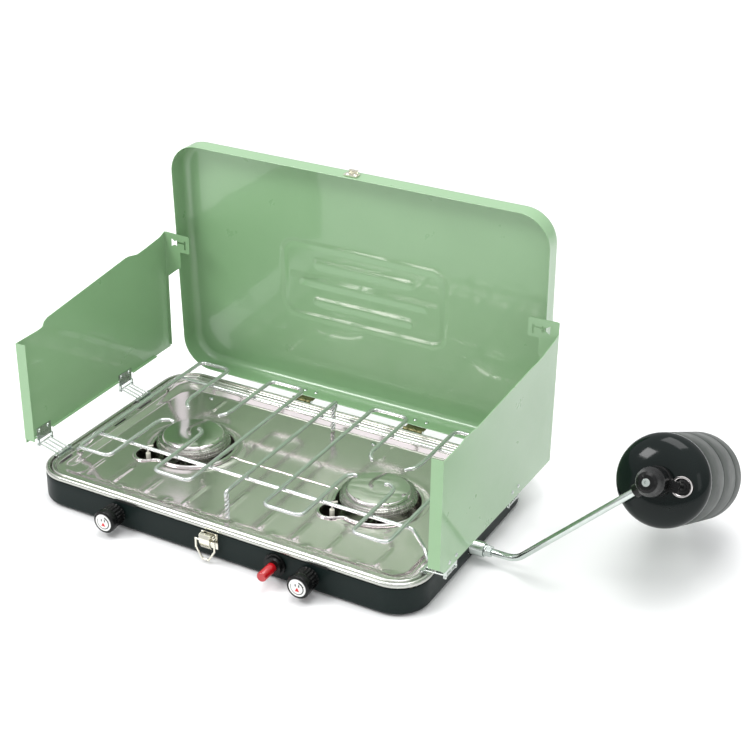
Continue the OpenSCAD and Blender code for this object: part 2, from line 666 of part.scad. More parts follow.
module lip(side, front, back) {
  front_z = lip_z(side, front);
  back_z = lip_z(side, back);
  translate([screen_x - 4.4, 0, 0]) extrude_x(4.2)
    polygon([[front, front_z], [back, back_z], [back, back_z + screen_sheet], [front, front_z + screen_sheet]]);
}
module windscreen(side) {
  outline = side < 0 ? left_outline : right_outline;
  flange_foot = side < 0 ? outline[0][1] + 5 : 64;
  back_foot = outline[1][1] + 3;
  // rear flange with its hooked tab, as (x, z)
  rear = [[screen_x, back_foot], [screen_x - 3.4, back_foot], [screen_x - 3.4, 167], [257.8, 178.5],
    [251, 183], [251, 204.5], [238, 204.5], [236.4, 206], [236.4, 226.5], [238, 228],
    [screen_x - 3, 229.4], [screen_x, 228.5]];
  color([0.58, 0.72, 0.56]) lift() on_side(side) difference() {
    union() {
      translate([screen_x - screen_sheet, 0, 0]) extrude_x(screen_sheet) polygon(outline);
      // front flange, turned inward
      translate([screen_x - 14, -135.4, flange_foot]) cube([14, screen_sheet, outline[12][1] - flange_foot]);
      translate([0, tab_back, 0]) rotate([90, 0, 0]) linear_extrude(screen_sheet) polygon(rear);
      // stiffening lips along the bottom
      lip(side, side < 0 ? -128 : -123.6, -119);
      lip(side, -89, 42);
      lip(side, 72, 124);
    }
    // bow-tie window and hook slot in the tab
    translate([0, tab_y + 3, 0]) rotate([90, 0, 0]) linear_extrude(6) {
      polygon([[264, 222], [264, 211], [259, 214], [254, 211.5], [254, 221], [259, 218.5]]);
      translate([242, 209]) square([2.4, 12]);
      translate([243, 216.4]) square([12, 2.4]);
    }
    at_screen_rivets(side, screen_x - 3) cylinder(r = rivet_hole_r, h = 5, $fn = 24);
  }
}
module left_windscreen() { windscreen(-1); }
module right_windscreen() { windscreen(1); }

// every rivet axis of a right-hand windscreen, +Z outward from x
module at_screen_rivets(side, x) {
  for (y = link_ys, t = [-1, 1])
    translate([x, y + t * screen_rivet_y, bracket_z(side) + screen_rivet_rise]) along_x() children();
}
module windscreen_brackets(side) {
  axis_z = bracket_z(side);
  inner_x = screen_x - screen_sheet;
  ear_x = bracket_x - 2.2;
  color("silver") lift() on_side(side) for (y = link_ys) translate([0, y, 0]) difference() {
    union() {
      translate([inner_x - 1.3, -13, axis_z + 4.6]) cube([1.25, 26, 16.4]);
      for (t = [-1, 1]) translate([ear_x, t * 12 - 1, axis_z - 2.2]) cube([inner_x - 0.05 - ear_x, 2, 8.4]);
    }
    link_bore(bracket_x, axis_z);
    for (t = [-1, 1]) translate([screen_x - 4, t * screen_rivet_y, axis_z + screen_rivet_rise])
      along_x() cylinder(r = rivet_hole_r, h = 5, $fn = 24);
  }
}
module left_windscreen_brackets() { windscreen_brackets(-1); }
module right_windscreen_brackets() { windscreen_brackets(1); }

module windscreen_rivets(side) {
  color("silver") lift() on_side(side) at_screen_rivets(side, screen_x) {
    translate([0, 0, -2.4]) cylinder(r = 1.5, h = 2.6, $fn = 24);
    translate([0, 0, -3.4]) cylinder(r1 = 1.8, r2 = 2.6, h = 1.15, $fn = 24);
    translate([0, 0, 0.05]) cylinder(r1 = 2.6, r2 = 1.8, h = 1, $fn = 24);
  }
}
module left_windscreen_rivets() { windscreen_rivets(-1); }
module right_windscreen_rivets() { windscreen_rivets(1); }

// ---------- regulator and cylinder ----------
// level run out of the inlet, then 45 degrees up to the regulator
module regulator_tube() {
  rise = regulator_at[2] - inlet_z;
  corner_x = regulator_at[0] - rise; // where the two straight runs would cross
  bend_r = 26;
  tangent = bend_r * tan(22.5);
  color([0.75, 0.8, 0.78]) lift() translate([0, inlet_y, inlet_z]) {
    along_x() {
      translate([0, 0, 258]) cylinder(r = 5, h = 8);
      translate([0, 0, 266]) cylinder(r = supply_tube_r, h = corner_x - tangent - 265.7, $fn = 32);
    }
    translate([corner_x - tangent, 0, bend_r]) rotate([90, 0, 0]) rotate([0, 0, -90])
      rotate_extrude(angle = 45, $fn = 72) translate([bend_r, 0]) circle(supply_tube_r + 0.1, $fn = 32);
    translate([corner_x + tangent * cos(45), 0, tangent * sin(45)]) rotate([0, 45, 0])
      translate([0, 0, -0.3]) cylinder(r = supply_tube_r, h = rise * sqrt(2) - tangent - 8.7, $fn = 32);
  }
}
module tube_nut() {
  color("silver") lift() translate([270.2, inlet_y, inlet_z]) along_x() difference() {
    union() {
      cylinder(r = 7, h = 8, $fn = 6);
      cylinder(r = 7.2, h = 2, $fn = 32);
    }
    translate([0, 0, -1]) cylinder(r = supply_bore_r, h = 12, $fn = 32);
  }
}
module regulator_body() {
  // half section as (radius, z), with a socket at the cylinder end
  profile = [[0, -23], [8, -23], [11, -21], [13, -14], [15.5, -8], [16, 0], [16, 12], [13.4, 14],
    [13.4, 17], [16.2, 18], [16.2, 27], [12.2, 27], [12.2, 16], [0, 16]];
  color([0.06, 0.06, 0.06]) lift() difference() {
    union() {
      regulator_frame() {
        rotate_extrude($fn = 64) polygon(profile);
        // ribbed block on the right
        translate([14, -6, 6]) cube([13, 12, 6]);
        for (i = [-2 : 2]) translate([17, i * 2.3 - 0.6, 5.2]) cube([9, 1.2, 2]);
      }
      translate(regulator_at) rotate([0, 45, 0]) translate([0, 0, -22]) cylinder(r = 7.5, h = 14, $fn = 32);
    }
    translate(regulator_at) rotate([0, 45, 0])
      translate([0, 0, -40]) cylinder(r = supply_bore_r, h = 31.2, $fn = 32);
    regulator_frame() translate([0, 0, -25]) cylinder(r = 4.3, h = 5, $fn = 32);
  }
}
module regulator_screw() {
  color("silver") lift() regulator_frame() difference() {
    translate([0, 0, -24.2]) cylinder(r = 4.2, h = 4.1, $fn = 32);
    translate([0, 0, -25]) cylinder(r = 2, h = 3, $fn = 6);
  }
}
// rolled groove round the tank at height z
function band(z) = [[tank_r, z], [tank_r - 0.7, z + 0.6], [tank_r - 0.7, z + 1.6], [tank_r, z + 2.2]];
module cylinder_tank() {
  neck_r = 11.4;
  neck_z = 28.4;
  dome = [for (i = [0 : 10]) let (a = 90 - i * 8.2)
    [neck_r + (tank_r - neck_r) * cos(a), neck_z + (shoulder_z - neck_z) * (1 - sin(a))]];
  inner = [[0, tank_end_z - tank_wall], [tank_r - base_bend, tank_end_z - tank_wall],
    [tank_r - tank_wall, straight_end_z], [tank_r - tank_wall, shoulder_z], [34, 38], [neck_r, 33]];
  profile = concat([[neck_r, neck_z]], dome, [[tank_r, shoulder_z]],
    band(shoulder_z + tank_length * 0.4), band(shoulder_z + tank_length * 0.8), [[tank_r, straight_end_z]],
    arc([tank_r - base_bend, straight_end_z], base_bend, 0, 80, 6), [[10, tank_end_z], [0, tank_end_z]], inner);
  color([0.12, 0.15, 0.14]) lift() regulator_frame() rotate_extrude($fn = 128) polygon(profile);
}
module cylinder_valve() {
  color([0.7, 0.68, 0.6]) lift() regulator_frame() rotate_extrude($fn = 48)
    polygon([[2, 17.5], [9, 17.5], [12, 19], [12, 24], [11.3, 25], [11.3, 36], [6, 36], [2, 30]]);
}
module relief_valve() {
  color([0.75, 0.75, 0.75]) lift() regulator_frame() translate([25, 0, 0]) rotate_extrude($fn = 40)
    polygon([[0, 28.8], [3, 28.8], [3, 29.6], [8.6, 29.6], [8.6, 27.4], [10.4, 27.4], [10.4, 30], [9, 31], [0, 31]]);
}
module cylinder_foot() {
  color([0.1, 0.1, 0.1]) lift() regulator_frame() translate([0, 0, tank_end_z + 0.05]) rotate_extrude($fn = 96)
    polygon([[30, 0], [37, 0], [41, 1], [42, 4], [40, 5], [36, 3], [30, 3]]);
}

base_tray();
rubber_feet();
drip_pan();
pan_screws();
left_burner_bowl();
right_burner_bowl();
left_burner_head();
right_burner_head();
left_burner_cap();
right_burner_cap();
left_mixer_tube();
right_mixer_tube();
left_valve_body();
right_valve_body();
left_valve_stem();
right_valve_stem();
left_knob();
right_knob();
left_dial();
right_dial();
gas_manifold();
inlet_fitting();
igniter_housing();
igniter_button();
igniter_spring();
igniter_electrodes();
igniter_leads();
latch_plate();
latch_lever();
latch_bail();
hinge_base_leaves();
hinge_lid_leaves();
hinge_pins();
hinge_rivets();
lid();
lid_catch();
grate();
link_clips();
left_wire_links();
right_wire_links();
left_windscreen();
right_windscreen();
left_windscreen_brackets();
right_windscreen_brackets();
left_windscreen_rivets();
right_windscreen_rivets();
tube_nut();
regulator_tube();
regulator_body();
regulator_screw();
cylinder_tank();
cylinder_valve();
relief_valve();
cylinder_foot();
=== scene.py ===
"""Two-burner camping stove with its lid standing open and a gas cylinder on its right.

+X is right, -Y is the front with the knobs, +Z is up. Sizes are in millimetres, with z
measured from the underside of the tray; build() turns them into metres.
"""
import json
import math

import bmesh
import bpy
import numpy as np
from mathutils import Vector, Matrix, noise


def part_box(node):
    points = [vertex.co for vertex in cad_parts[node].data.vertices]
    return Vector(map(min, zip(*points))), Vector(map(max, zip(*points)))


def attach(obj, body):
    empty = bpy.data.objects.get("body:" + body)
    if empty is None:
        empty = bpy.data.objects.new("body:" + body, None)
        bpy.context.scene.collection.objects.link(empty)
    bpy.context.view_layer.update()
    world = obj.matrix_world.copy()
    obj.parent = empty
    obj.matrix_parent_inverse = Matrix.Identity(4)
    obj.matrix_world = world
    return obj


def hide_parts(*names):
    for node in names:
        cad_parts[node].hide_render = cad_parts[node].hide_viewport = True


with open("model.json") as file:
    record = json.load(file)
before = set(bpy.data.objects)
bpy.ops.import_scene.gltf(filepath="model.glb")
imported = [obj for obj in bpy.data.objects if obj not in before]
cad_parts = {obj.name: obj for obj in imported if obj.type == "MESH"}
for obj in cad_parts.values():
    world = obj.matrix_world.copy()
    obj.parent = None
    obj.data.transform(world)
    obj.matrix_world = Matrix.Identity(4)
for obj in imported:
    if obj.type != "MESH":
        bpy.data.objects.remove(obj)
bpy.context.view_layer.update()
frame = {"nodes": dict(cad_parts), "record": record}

NODES = frame["nodes"]
SLOT = {part["node"]: part["material_slot"] for part in frame["record"]["subparts"]}
TO_METRES = 0.001
SIDES = ((-1, "left"), (1, "right"))


# ---------------------------------------------------------------- placing


def shift(x, y, z):
    return Matrix.Translation((x, y, z))


def turn(degrees, axis):
    return Matrix.Rotation(math.radians(degrees), 4, axis)


def centre_mm(node):
    low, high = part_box(node)
    return (low.x + high.x) * 500.0, (low.y + high.y) * 500.0, (low.z + high.z) * 500.0


def control_frame(node):
    """Frame on the front face of a knob or dial, with local z pointing back into the stove."""
    x, _, z = centre_mm(node)
    return shift(x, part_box(node)[0].y * 1000, z) @ turn(-90, "X")


tray_low, tray_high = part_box("base_tray")
TRAY_BOTTOM = tray_low.z * 1000.0     # above the standing plane
HALF_X = tray_high.x * 1000.0
HALF_Y = tray_high.y * 1000.0
TRAY_CORNER = 40.0
BURNER_X, BURNER_Y, _ = centre_mm("right_burner_cap")

STOVE = shift(0, 0, TRAY_BOTTOM)
LID_TILT = 2.4                        # degrees short of a right angle
LID_HINGE = (STOVE @ shift(0, 158.1, 37.6) @ turn(-(90 - LID_TILT), "X")
             @ shift(0, 5.24, 10.43))
REGULATOR_X, REGULATOR_Y, REGULATOR_Z = 451, -8, 159
REGULATOR = (STOVE @ shift(REGULATOR_X, REGULATOR_Y, REGULATOR_Z)
             @ turn(1.0, "Z") @ turn(-116, "X"))


# ---------------------------------------------------------------- materials


def set_inputs(node, inputs):
    """Set or link inputs, given by name or index, from values or sockets."""
    for key, value in inputs.items():
        if isinstance(value, bpy.types.NodeSocket):
            node.id_data.links.new(value, node.inputs[key])
        else:
            node.inputs[key].default_value = value


def add_node(tree, kind, inputs, **settings):
    node = tree.nodes.new("ShaderNode" + kind)
    for key, value in settings.items():
        setattr(node, key, value)
    set_inputs(node, inputs)
    return node


def remap(tree, source, low, high, start=0.3, stop=0.7):
    """Map start..stop of the source to low..high."""
    return add_node(tree, "MapRange", {
        "From Min": start, "From Max": stop, "To Min": low, "To Max": high,
        "Value": source}).outputs["Result"]


def noise_map(tree, place, scale, detail, rough, distortion=0.0):
    return add_node(tree, "TexNoise", {
        "Scale": scale, "Detail": detail, "Roughness": rough, "Distortion": distortion,
        "Vector": place}).outputs["Fac"]


def mix(tree, factor, *colors):
    first, second = [(*c, 1) if isinstance(c, tuple) else c for c in colors]
    return add_node(tree, "Mix", {0: factor, 6: first, 7: second}, data_type="RGBA").outputs[2]


def arithmetic(tree, operation, first, second):
    return add_node(tree, "Math", {0: first, 1: second}, operation=operation).outputs[0]


def shade(color, factor):
    return tuple(min(1, channel * factor) for channel in color)


def surface(name, color, rough, rough_var, color_var, patches, grain, grain_scale,
            grain_depth=0.0002, metal=0.0, stretch=(1, 1, 1), coat=0.0, coat_rough=0.1,
            wear=0.0, wear_color=(0.6, 0.6, 0.58), spots=0.0, spot_color=(0.2, 0.16, 0.1),
            specular=0.5, anisotropy=0.0, smudge=0.0, waves=0.25):
    """Procedural surface.

    patches is the scale of broad tone changes. grain, grain_scale, grain_depth (m) and
    stretch shape the fine bumps; waves is the strength of broad ones. wear, spots and
    smudge are amounts of bare edges, stains and dull areas.
    """
    material = bpy.data.materials.new(name)
    material.use_nodes = True
    tree = material.node_tree
    place = add_node(tree, "TexCoord", {}).outputs["Object"]
    stretched = add_node(tree, "Mapping", {"Scale": stretch, "Vector": place}).outputs["Vector"]

    # Broad tone changes, then fine darker grain.
    broad = noise_map(tree, place, patches, detail=5, rough=0.6, distortion=0.3)
    tone = mix(tree, remap(tree, broad, 0, 1),
               tuple(c * (1 - color_var) for c in color), shade(color, 1 + color_var))
    fine = noise_map(tree, stretched, grain_scale, detail=3, rough=0.6)
    fine_mask = remap(tree, fine, 0, 1, start=0.35, stop=0.65)
    darker = mix(tree, min(1.0, color_var * 3), tone, tuple(c * 0.82 for c in color))
    tone = mix(tree, fine_mask, tone, darker)
    if spots:
        stain = noise_map(tree, place, patches * 6, detail=8, rough=0.75, distortion=0.6)
        tone = mix(tree, remap(tree, stain, 0, spots, start=0.60, stop=0.72), tone, spot_color)
    if wear:
        # A rounded normal departs from the true one at edges; noise breaks the line up.
        bevel = add_node(tree, "Bevel", {"Radius": 0.0012}, samples=4)
        geometry = add_node(tree, "NewGeometry", {})
        flatness = add_node(
            tree, "VectorMath", {0: bevel.outputs["Normal"], 1: geometry.outputs["Normal"]},
            operation="DOT_PRODUCT").outputs["Value"]
        edge = remap(tree, flatness, 1, 0, start=0.72, stop=0.97)
        chips = noise_map(tree, place, 160, detail=6, rough=0.7)
        worn = arithmetic(tree, "MULTIPLY", edge,
                          remap(tree, chips, 0, 1, start=0.42, stop=0.62))
        metal = arithmetic(tree, "MULTIPLY", worn, wear)
        tone = mix(tree, metal, tone, wear_color)

    gloss = noise_map(tree, place, patches * 2.2, detail=6, rough=0.65, distortion=0.5)
    gloss = remap(tree, gloss, max(0.02, rough - rough_var), min(1, rough + rough_var))
    if smudge:
        dull = noise_map(tree, place, patches * 0.6, detail=8, rough=0.7, distortion=1.2)
        gloss = arithmetic(tree, "ADD", gloss,
                           remap(tree, dull, 0, smudge, start=0.5, stop=0.7))

    fine_bump = add_node(tree, "Bump", {
        "Strength": grain, "Distance": grain_depth, "Height": fine})
    broad_bump = add_node(tree, "Bump", {
        "Strength": waves, "Distance": 0.0006,
        "Height": noise_map(tree, place, 18, detail=2, rough=0.4),
        "Normal": fine_bump.outputs["Normal"]})
    set_inputs(tree.nodes["Principled BSDF"], {
        "Base Color": tone, "Metallic": metal, "Roughness": gloss,
        "Specular IOR Level": specular, "Coat Weight": coat, "Coat Roughness": coat_rough,
        "Anisotropic": anisotropy, "Normal": broad_bump.outputs["Normal"]})
    return material


GREEN = surface(
    "paint_green", (0.232, 0.402, 0.209), rough=0.32, rough_var=0.05, color_var=0.025,
    patches=9, grain=0.05, grain_scale=700, coat=0.75, coat_rough=0.06, wear=0.12,
    wear_color=(0.50, 0.54, 0.47), waves=0.05)
DARK_ENAMEL = surface(
    "enamel_dark", (0.0085, 0.0150, 0.0140), rough=0.38, rough_var=0.05, color_var=0.10,
    patches=12, grain=0.05, grain_scale=650, coat=0.03, coat_rough=0.22, wear=0.25,
    wear_color=(0.10, 0.11, 0.10), smudge=0.06, specular=0.11, waves=0.06)
STEEL = surface(
    "deck_steel", (0.74, 0.675, 0.680), metal=0.93, rough=0.15, rough_var=0.03,
    color_var=0.03, patches=7, grain=0.06, grain_scale=1.0, grain_depth=0.00006,
    stretch=(30, 1600, 1600), spots=0.06, spot_color=(0.42, 0.38, 0.30), smudge=0.05,
    anisotropy=0.3, waves=0.07)
POLISH = surface(
    "polished_steel", (0.70, 0.665, 0.655), metal=1.0, rough=0.10, rough_var=0.03,
    color_var=0.03, patches=20, grain=0.05, grain_scale=900, grain_depth=0.00005,
    smudge=0.05, waves=0.08)
CAST = surface(
    "burner_alloy", (0.42, 0.42, 0.39), metal=1.0, rough=0.24, rough_var=0.08,
    color_var=0.14, patches=60, grain=0.35, grain_scale=900)
CHROME = surface(
    "chrome_wire", (0.60, 0.63, 0.61), metal=0.78, rough=0.15, rough_var=0.04,
    color_var=0.05, patches=40, grain=0.08, grain_scale=900, grain_depth=0.00006,
    spots=0.15, spot_color=(0.38, 0.34, 0.26))
ZINC = surface(
    "zinc_plate", (0.58, 0.63, 0.60), metal=1.0, rough=0.17, rough_var=0.08,
    color_var=0.10, patches=90, grain=0.25, grain_scale=1400, grain_depth=0.0001)
NICKEL = surface(
    "nickel_plate", (0.76, 0.74, 0.64), metal=1.0, rough=0.18, rough_var=0.06,
    color_var=0.08, patches=70, grain=0.15, grain_scale=1100, grain_depth=0.0001)
PASSIVATED = surface(
    "yellow_passivate", (0.20, 0.185, 0.09), metal=1.0, rough=0.32, rough_var=0.1,
    color_var=0.2, patches=80, grain=0.2, grain_scale=1100, grain_depth=0.0001)
BRASS = surface(
    "brass_turned", (0.72, 0.52, 0.22), metal=1.0, rough=0.27, rough_var=0.08,
    color_var=0.14, patches=80, grain=0.2, grain_scale=1200, grain_depth=0.0001)
BLACK = surface(
    "black_plastic", (0.0045, 0.0048, 0.0048), rough=0.26, rough_var=0.08, color_var=0.15,
    patches=60, grain=0.5, grain_scale=1800, grain_depth=0.0001, specular=0.22)
RED = surface(
    "red_button", (0.43, 0.004, 0.009), rough=0.20, rough_var=0.05, color_var=0.08,
    patches=80, grain=0.15, grain_scale=1300, grain_depth=0.00008, coat=0.5)
WHITE = surface(
    "dial_white", (0.80, 0.80, 0.78), rough=0.32, rough_var=0.05, color_var=0.02,
    patches=60, grain=0.08, grain_scale=1300, grain_depth=0.00005, coat=0.4)
RUBBER = surface(
    "rubber", (0.022, 0.022, 0.022), rough=0.75, rough_var=0.08, color_var=0.2,
    patches=70, grain=0.7, grain_scale=1500, grain_depth=0.00015)
CERAMIC = surface(
    "ceramic", (0.80, 0.77, 0.68), rough=0.22, rough_var=0.05, color_var=0.04,
    patches=80, grain=0.1, grain_scale=900, coat=0.6)
LEAD_COVER = surface(
    "lead_sleeve", (0.22, 0.012, 0.01), rough=0.5, rough_var=0.06, color_var=0.12,
    patches=80, grain=0.3, grain_scale=1500)
INK = surface(
    "dial_ink", (0.012, 0.012, 0.012), rough=0.5, rough_var=0.05, color_var=0.1,
    patches=90, grain=0.15, grain_scale=1600, grain_depth=0.00004)
RED_INK = surface(
    "dial_red", (0.62, 0.006, 0.012), rough=0.45, rough_var=0.05, color_var=0.08,
    patches=90, grain=0.15, grain_scale=1600, grain_depth=0.00004)
TANK_SIDE = surface(
    "tank_side", (0.024, 0.032, 0.026), rough=0.42, rough_var=0.05, color_var=0.08,
    patches=16, grain=0.12, grain_scale=800, wear=0.12, smudge=0.08, specular=0.16)
TANK_DOME = surface(
    "tank_dome", (0.0035, 0.0072, 0.0066), rough=0.12, rough_var=0.03, color_var=0.10,
    patches=20, grain=0.04, grain_scale=700, coat=0.10, coat_rough=0.03, smudge=0.03,
    specular=0.16, waves=0.05)
# Steel darkened as painted shade for the deep burner bowls and the groove inside the deck rim;
# its spots are stains.
STEEL_SHADE_AND_STAINS = surface(
    "bowl_steel_shade_and_stains", (0.26, 0.25, 0.22), metal=1.0, rough=0.22, rough_var=0.08,
    color_var=0.12, patches=30, grain=0.2, grain_scale=600, grain_depth=0.0001,
    spots=0.25, spot_color=(0.20, 0.17, 0.13))
RIM = surface(
    "rolled_rim", (0.50, 0.51, 0.47), metal=0.95, rough=0.24, rough_var=0.05,
    color_var=0.04, patches=12, grain=0.04, grain_scale=500, grain_depth=0.00005,
    smudge=0.05, waves=0.04)
# Near-black for painted shade: the slot plates on the deck and the grooves of the tank.
SHADOW = surface(
    "slot_shadow", (0.006, 0.007, 0.006), rough=0.7, rough_var=0.05, color_var=0.2,
    patches=60, grain=0.2, grain_scale=900)

SLOT_MATERIALS = {
    "enamel_black": DARK_ENAMEL, "enamel_green": GREEN, "stainless": STEEL,
    "polished": POLISH, "cast_alloy": CAST, "chrome_wire": CHROME, "zinc": ZINC,
    "nickel": NICKEL, "passivated": PASSIVATED, "brass": BRASS, "black_plastic": BLACK,
    "red_plastic": RED, "dial_white": WHITE, "rubber": RUBBER, "ceramic": CERAMIC,
    "lead_cover": LEAD_COVER, "tank_paint": TANK_SIDE}


def finish_cad_piece(name, piece):
    """Give a CAD piece its slot's material and softly rounded edges."""
    piece.data.materials.clear()
    piece.data.materials.append(SLOT_MATERIALS[SLOT[name]])
    weld = piece.modifiers.new("weld", "WELD")
    weld.merge_threshold = 2e-6
    bevel = piece.modifiers.new("edges", "BEVEL")
    bevel.width = 0.00022
    bevel.segments = 2
    bevel.limit_method = "ANGLE"
    bevel.angle_limit = math.radians(40)
    bevel.harden_normals = False


# ---------------------------------------------------------------- mesh helpers
# A part is a pair of lists: vertices and faces.


def new_object(name, vertices, faces):
    mesh = bpy.data.meshes.new(name)
    mesh.from_pydata(vertices, [], faces)
    made = bpy.data.objects.new(name, mesh)
    bpy.context.scene.collection.objects.link(made)
    return made


def to_metres(vertices, placing):
    return [(placing @ Vector(v)) * TO_METRES for v in vertices]


def build(name, part, body, materials, placing=STOVE, replaced=None, angle=35,
          weld=0.0, face_materials=None):
    """Make an object that rides on a body; angle (degrees) splits smooth from sharp."""
    made = new_object(name, to_metres(part[0], placing), part[1])
    mesh = made.data
    mesh.validate()
    for material in materials:
        mesh.materials.append(material)
    if face_materials:
        mesh.polygons.foreach_set("material_index", face_materials)
    work = bmesh.new()
    work.from_mesh(mesh)
    if weld:
        bmesh.ops.remove_doubles(work, verts=work.verts, dist=weld * TO_METRES)
    bmesh.ops.recalc_face_normals(work, faces=work.faces)
    work.to_mesh(mesh)
    work.free()
    mesh.polygons.foreach_set("use_smooth", [True] * len(mesh.polygons))
    mesh.set_sharp_from_angle(angle=math.radians(angle))
    mesh.update()
    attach(made, body)
    if replaced:
        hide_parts(replaced)
    return made


def rounded_ring(half_x, half_y, radius, z, steps):
    """Rounded rectangle; steps counts the pieces of an x side, a y side and a corner."""
    x_steps, y_steps, corner_steps = steps
    radius = max(min(radius, half_x - 0.01, half_y - 0.005), 0.004)
    flat_x, flat_y = half_x - radius, half_y - radius
    corners = [(flat_x, flat_y, 0), (-flat_x, flat_y, 90),
               (-flat_x, -flat_y, 180), (flat_x, -flat_y, 270)]

    def on_corner(corner, degrees):
        x, y, start = corner
        angle = math.radians(start + degrees)
        return x + radius * math.cos(angle), y + radius * math.sin(angle), z

    points = []
    for k, corner in enumerate(corners):
        points += [on_corner(corner, 90 * i / corner_steps) for i in range(corner_steps + 1)]
        here = points[-1]
        following = on_corner(corners[(k + 1) % 4], 0)
        count = y_steps if k % 2 else x_steps
        for i in range(1, count):
            t = i / count
            points.append((here[0] + (following[0] - here[0]) * t,
                           here[1] + (following[1] - here[1]) * t, z))
    return points


def loft(rings, closed=False, capped=False):
    """Skin rings of equal length; closed joins the last ring to the first."""
    size, count = len(rings[0]), len(rings)
    faces = []
    for j in range(count if closed else count - 1):
        here, following = j * size, ((j + 1) % count) * size
        for i in range(size):
            k = (i + 1) % size
            faces.append((here + i, here + k, following + k, following + i))
    if capped:
        faces.append(tuple(range(size - 1, -1, -1)))
        faces.append(tuple(range((count - 1) * size, count * size)))
    return [point for ring in rings for point in ring], faces


def lathe(profile, segments, radius_at=None):
    """Turn (radius, z) points about z; radius_at(angle, radius, z) may alter the radius."""
    rings = []
    for radius, z in profile:
        ring = []
        for i in range(segments):
            angle = 2 * math.pi * i / segments
            r = radius_at(angle, radius, z) if radius_at else radius
            ring.append((r * math.cos(angle), r * math.sin(angle), z))
        rings.append(ring)
    return loft(rings)


def per_face(band_materials, segments):
    """Spread one material index per band over the faces of that band."""
    return [index for index in band_materials for _ in range(segments)]


def arc_points(center_x, center_y, radius, start, end, steps):
    angles = [math.radians(start + (end - start) * i / steps) for i in range(steps + 1)]
    return [(center_x + radius * math.cos(a), center_y + radius * math.sin(a)) for a in angles]


def fillet(points, radius, steps=6):
    """Round the corners of a path."""
    path = [Vector(p) for p in points]
    rounded = [path[0]]
    for before, corner, after in zip(path, path[1:], path[2:]):
        back, ahead = before - corner, after - corner
        back_length, ahead_length = back.length, ahead.length
        back.normalize()
        ahead.normalize()
        angle = back.angle(ahead)
        if angle > math.radians(176):
            rounded.append(corner)
            continue
        trim = min(radius / math.tan(angle / 2), back_length * 0.48, ahead_length * 0.48)
        start, end = corner + back * trim, corner + ahead * trim
        for k in range(steps + 1):
            t = k / steps
            rounded.append(start * (1 - t) ** 2 + corner * 2 * t * (1 - t) + end * t ** 2)
    rounded.append(path[-1])
    return rounded


def tube(points, radius, segments=14):
    """Round wire along a path, with flattened domes on its ends."""
    path = [Vector(p) for p in points]
    last = len(path) - 1
    tangents = [(path[min(i + 1, last)] - path[max(i - 1, 0)]).normalized()
                for i in range(last + 1)]
    up = Vector((0, 0, 1)) if abs(tangents[0].z) < 0.9 else Vector((1, 0, 0))
    side = tangents[0].cross(up).normalized()
    rings = []
    for i, (point, tangent) in enumerate(zip(path, tangents)):
        if i:
            side = (side - tangent * side.dot(tangent)).normalized()
        other = tangent.cross(side)
        dome_angles = {0: (-80, -55, -28, 0), last: (0, 28, 55, 80)}.get(i, (0,))
        for dome in map(math.radians, dome_angles):
            center = point + tangent * radius * math.sin(dome) * 0.6
            size = radius * math.cos(dome)
            angles = [2 * math.pi * k / segments for k in range(segments)]
            rings.append([tuple(center + side * size * math.cos(a) + other * size * math.sin(a))
                          for a in angles])
    return loft(rings, capped=True)


def join(parts):
    vertices, faces = [], []
    for part_vertices, part_faces in parts:
        offset = len(vertices)
        vertices += part_vertices
        faces += [tuple(i + offset for i in face) for face in part_faces]
    return vertices, faces


def moved(part, placing):
    return [tuple(placing @ Vector(p)) for p in part[0]], part[1]


def smooth_step(start, end, x):
    t = max(0.0, min(1.0, (x - start) / (end - start)))
    return t * t * (3 - 2 * t)


def prism(outline, bottom, top):
    n = len(outline)
    vertices = [(x, y, bottom) for x, y in outline] + [(x, y, top) for x, y in outline]
    faces = [tuple(range(n - 1, -1, -1)), tuple(range(n, 2 * n))]
    faces += [(i, (i + 1) % n, n + (i + 1) % n, n + i) for i in range(n)]
    return vertices, faces


def slot_outline(x, y, width, height):
    """Slot with round ends."""
    radius = min(width, height) / 2 - 0.01
    outline = []
    for sign_x, sign_y, start in ((1, 1, 0), (-1, 1, 90), (-1, -1, 180), (1, -1, 270)):
        outline += arc_points(x + (width / 2 - radius) * sign_x,
                              y + (height / 2 - radius) * sign_y,
                              radius, start, start + 90, 6)
    return outline


def cut(target, cutters):
    """Subtract the cutters, apply the result and delete them."""
    for cutter in cutters:
        boolean = target.modifiers.new("cut", "BOOLEAN")
        boolean.object = cutter
        boolean.operation = "DIFFERENCE"
        boolean.solver = "EXACT"
    graph = bpy.context.evaluated_depsgraph_get()
    result = bpy.data.meshes.new_from_object(target.evaluated_get(graph))
    target.modifiers.clear()
    uncut = target.data
    target.data = result
    bpy.data.meshes.remove(uncut)
    for cutter in cutters:
        bpy.data.objects.remove(cutter)


# ---------------------------------------------------------------- base tray
TRAY_STEPS = (40, 26, 14)
TRAY_WALL = 1.0
TRAY_BEND = 5                          # outer radius between floor and wall
TRAY_FLOOR_INSETS = (150, 100, 60, 30, 15)


